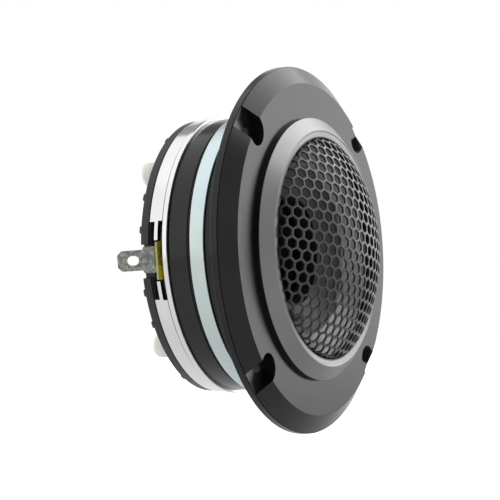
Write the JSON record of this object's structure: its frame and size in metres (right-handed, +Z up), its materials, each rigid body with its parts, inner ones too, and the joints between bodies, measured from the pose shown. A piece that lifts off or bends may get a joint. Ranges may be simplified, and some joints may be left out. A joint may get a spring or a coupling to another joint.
{
  "type": "car tweeter",
  "caption": "Flanged round car super tweeter: domed hex-mesh grille, short horn, ring magnet motor, rear diaphragm cover and blade terminals.",
  "frame": {"origin": "centre of the flange's mounting face, on the axis of the horn", "axes": "+Z up, the front and the grille face -Y, +Y runs back through the motor, one terminal near -X and one near +X"},
  "size_m": [0.115, 0.0606, 0.115],
  "materials": {
    "satin_black_metal": "satin dark coating with fine grain",
    "grille_paint": "satin powder coat on perforated steel",
    "horn_plastic": "moulded, fine texture",
    "zinc_plate": "bright bluish zinc plating",
    "silver_steel": "bright nickel plating, turned",
    "ring_aluminium": "machined, bright",
    "pole_steel": "turned, oiled",
    "copper": "bright copper",
    "ferrite": "ground, matt",
    "sleeve_plastic": "satin band",
    "plug_plastic": "moulded",
    "carrier_plastic": "moulded",
    "surround_film": "amber film",
    "dome_titanium": "thin metal foil, satin",
    "former_film": "amber film",
    "winding_wire": "lacquered wire",
    "board_yellow": "laminated board",
    "tab_tin": "tinned, mottled",
    "rivet_tin": "tinned",
    "gasket_foam": "closed-cell",
    "pad_felt": "felt",
    "cover_plastic": "moulded, fine texture",
    "screw_steel": "black-zinc plated",
    "cap_nylon": "natural nylon, slightly glossy"
  },
  "bodies": {
    "tweeter_body": {"front_flange": "satin_black_metal", "grille_bezel": "satin_black_metal", "grille_mesh": "grille_paint", "grille_retainer": "carrier_plastic", "horn_insert": "horn_plastic", "horn_screws": "screw_steel", "throat_gasket": "gasket_foam", "back_plate": "zinc_plate", "pole_piece": "pole_steel", "copper_cap": "copper", "phase_plug": "plug_plastic", "ferrite_magnet": "ferrite", "magnet_sleeve": "sleeve_plastic", "top_plate": "silver_steel", "diaphragm_ring": "ring_aluminium", "diaphragm_frame": "carrier_plastic", "locating_pins": "pole_steel", "surround": "surround_film", "terminal_board_left": "board_yellow", "terminal_board_right": "board_yellow", "terminal_tab_left": "tab_tin", "terminal_tab_right": "tab_tin", "terminal_rivets": "rivet_tin", "lead_wires": "copper", "rear_cover": "cover_plastic", "cover_gasket": "gasket_foam", "damping_pad": "pad_felt", "cover_screws": "screw_steel", "screw_caps": "cap_nylon"},
    "diaphragm": {"diaphragm_dome": "dome_titanium", "voice_coil_former": "former_film", "voice_coil_winding": "winding_wire"}
  },
  "joints": [
    {"name": "diaphragm_travel", "type": "slide", "parent": "tweeter_body", "child": "diaphragm", "axis": [0, -1, 0], "range_m": [-0.0004, 0.0004], "stiffness_N_per_m": 8000, "deforming": ["surround"]}
  ]
}
